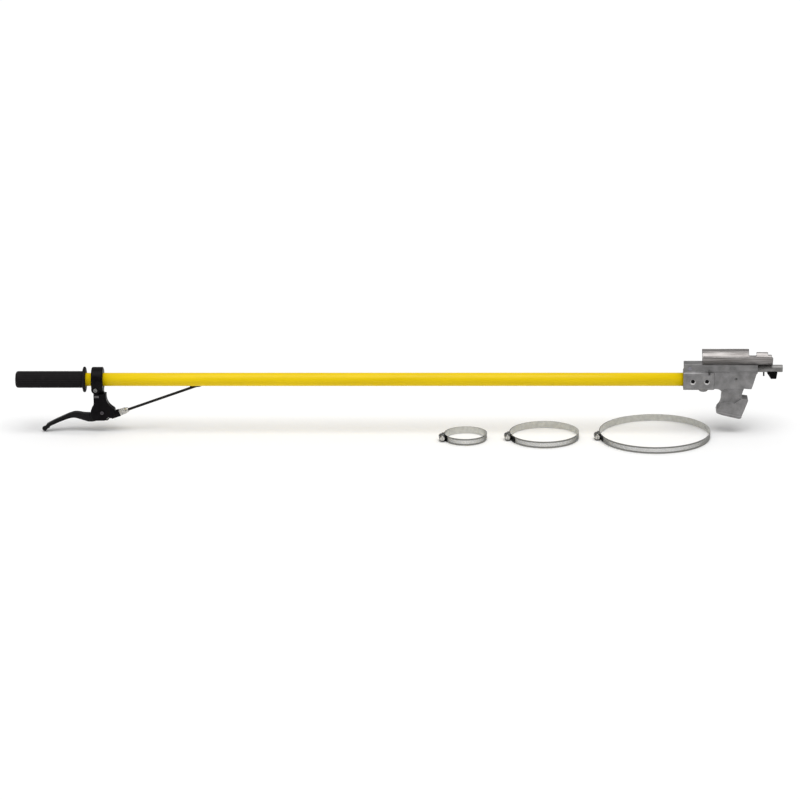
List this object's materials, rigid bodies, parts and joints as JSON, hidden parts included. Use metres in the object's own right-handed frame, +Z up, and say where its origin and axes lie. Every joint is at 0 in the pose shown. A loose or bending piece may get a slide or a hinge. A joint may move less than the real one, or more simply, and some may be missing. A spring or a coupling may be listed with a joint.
{
  "type": "trigger pole for a powder-actuated nailer",
  "caption": "Long pole with a ribbed grip and brake lever that pulls a rod in a cast saddle head by cable, to hold and fire a nailer overhead, with loose hose clamps.",
  "frame": {"origin": "middle of the hand grip, on the pole's axis", "axes": "+X along the pole to the head, +Z up through the saddle, so the lever and the pistol leg hang towards -Z"},
  "size_m": [1.4575, 0.2096, 0.1557],
  "materials": {
    "pole_yellow": "gloss",
    "black_rubber": "matte",
    "black_paint": "satin",
    "zinc_steel": "satin",
    "bright_zinc": "bright",
    "sheath_plastic": "satin",
    "cast_aluminium": "as cast",
    "finger_rubber": "matte",
    "stainless_band": "satin"
  },
  "bodies": {
    "pole_and_head": {"pole_tube": "pole_yellow", "cable_grommet": "black_rubber", "hand_grip": "black_rubber", "lever_bracket": "black_paint", "clamp_bolt": "zinc_steel", "lever_pivot_screw": "zinc_steel", "lever_pivot_nut": "zinc_steel", "cable_sheath": "sheath_plastic", "head_ferrule": "zinc_steel", "head_casting": "cast_aluminium", "pistol_leg": "cast_aluminium", "leg_roll_pin": "zinc_steel", "side_cover": "cast_aluminium", "cover_screws": "zinc_steel", "pole_screws": "black_paint", "set_screw": "zinc_steel", "web_rivet": "zinc_steel", "saddle_channel": "cast_aluminium", "saddle_screws": "zinc_steel", "rod_return_spring": "zinc_steel"},
    "lever": {"brake_lever": "black_paint"},
    "inner_wire": {"wire_nipple": "zinc_steel", "lever_wire": "zinc_steel"},
    "adjuster": {"adjuster_barrel": "bright_zinc"},
    "locknut": {"adjuster_locknut": "bright_zinc"},
    "pull_rod": {"trigger_rod": "cast_aluminium", "head_wire": "zinc_steel", "wire_grub_screw": "zinc_steel", "trigger_finger": "finger_rubber", "finger_screw": "zinc_steel", "travel_stop_pin": "black_paint"},
    "small_clamp": {"small_band": "stainless_band", "small_housing": "stainless_band"},
    "small_clamp_screw": {"small_worm_screw": "bright_zinc"},
    "medium_clamp": {"medium_band": "stainless_band", "medium_housing": "stainless_band"},
    "medium_clamp_screw": {"medium_worm_screw": "bright_zinc"},
    "large_clamp": {"large_band": "stainless_band", "large_housing": "stainless_band"},
    "large_clamp_screw": {"large_worm_screw": "bright_zinc"}
  },
  "joints": [
    {"name": "lever_pull", "type": "hinge", "parent": "pole_and_head", "child": "lever", "pos_m": [0.0986, 0, -0.0641], "axis": [0, 1, 0], "range_deg": [0, 30]},
    {"name": "wire_slide", "type": "slide", "parent": "pole_and_head", "child": "inner_wire", "axis": [-0.9421, 0, -0.3355], "range_m": [0, 0.0068]},
    {"name": "rod_slide", "type": "slide", "parent": "pole_and_head", "child": "pull_rod", "axis": [-1, 0, 0], "range_m": [0, 0.0068], "stiffness_N_per_m": 500, "springref_m": -0.012, "deforming": ["rod_return_spring"]},
    {"name": "adjuster_turn", "type": "hinge", "parent": "pole_and_head", "child": "adjuster", "pos_m": [0.1483, 0, -0.05967], "axis": [0.9421, 0, 0.3355], "continuous": true},
    {"name": "locknut_turn", "type": "hinge", "parent": "pole_and_head", "child": "locknut", "pos_m": [0.1483, 0, -0.05967], "axis": [0.9421, 0, 0.3355], "continuous": true},
    {"name": "small_clamp_away", "type": "slide", "parent": "pole_and_head", "child": "small_clamp", "axis": [0, -1, 0], "range_m": [0, 0.2]},
    {"name": "small_screw_turn", "type": "hinge", "parent": "small_clamp", "child": "small_clamp_screw", "pos_m": [0.74814, -0.0593, -0.09595], "axis": [0.1392, -0.9903, 0], "continuous": true},
    {"name": "medium_clamp_away", "type": "slide", "parent": "pole_and_head", "child": "medium_clamp", "axis": [0, -1, 0], "range_m": [0, 0.2]},
    {"name": "medium_screw_turn", "type": "hinge", "parent": "medium_clamp", "child": "medium_clamp_screw", "pos_m": [0.87173, -0.05263, -0.09595], "axis": [0.1219, -0.9925, 0], "continuous": true},
    {"name": "large_clamp_away", "type": "slide", "parent": "pole_and_head", "child": "large_clamp", "axis": [0, -1, 0], "range_m": [0, 0.2]},
    {"name": "large_screw_turn", "type": "hinge", "parent": "large_clamp", "child": "large_clamp_screw", "pos_m": [1.0415, -0.04951, -0.09595], "axis": [0.1045, -0.9945, 0], "continuous": true}
  ],
  "couplings": [
    {"joint": "wire_slide", "follows": "lever_pull", "m_per_rad": 0.0128},
    {"joint": "rod_slide", "follows": "lever_pull", "m_per_rad": 0.0128}
  ]
}
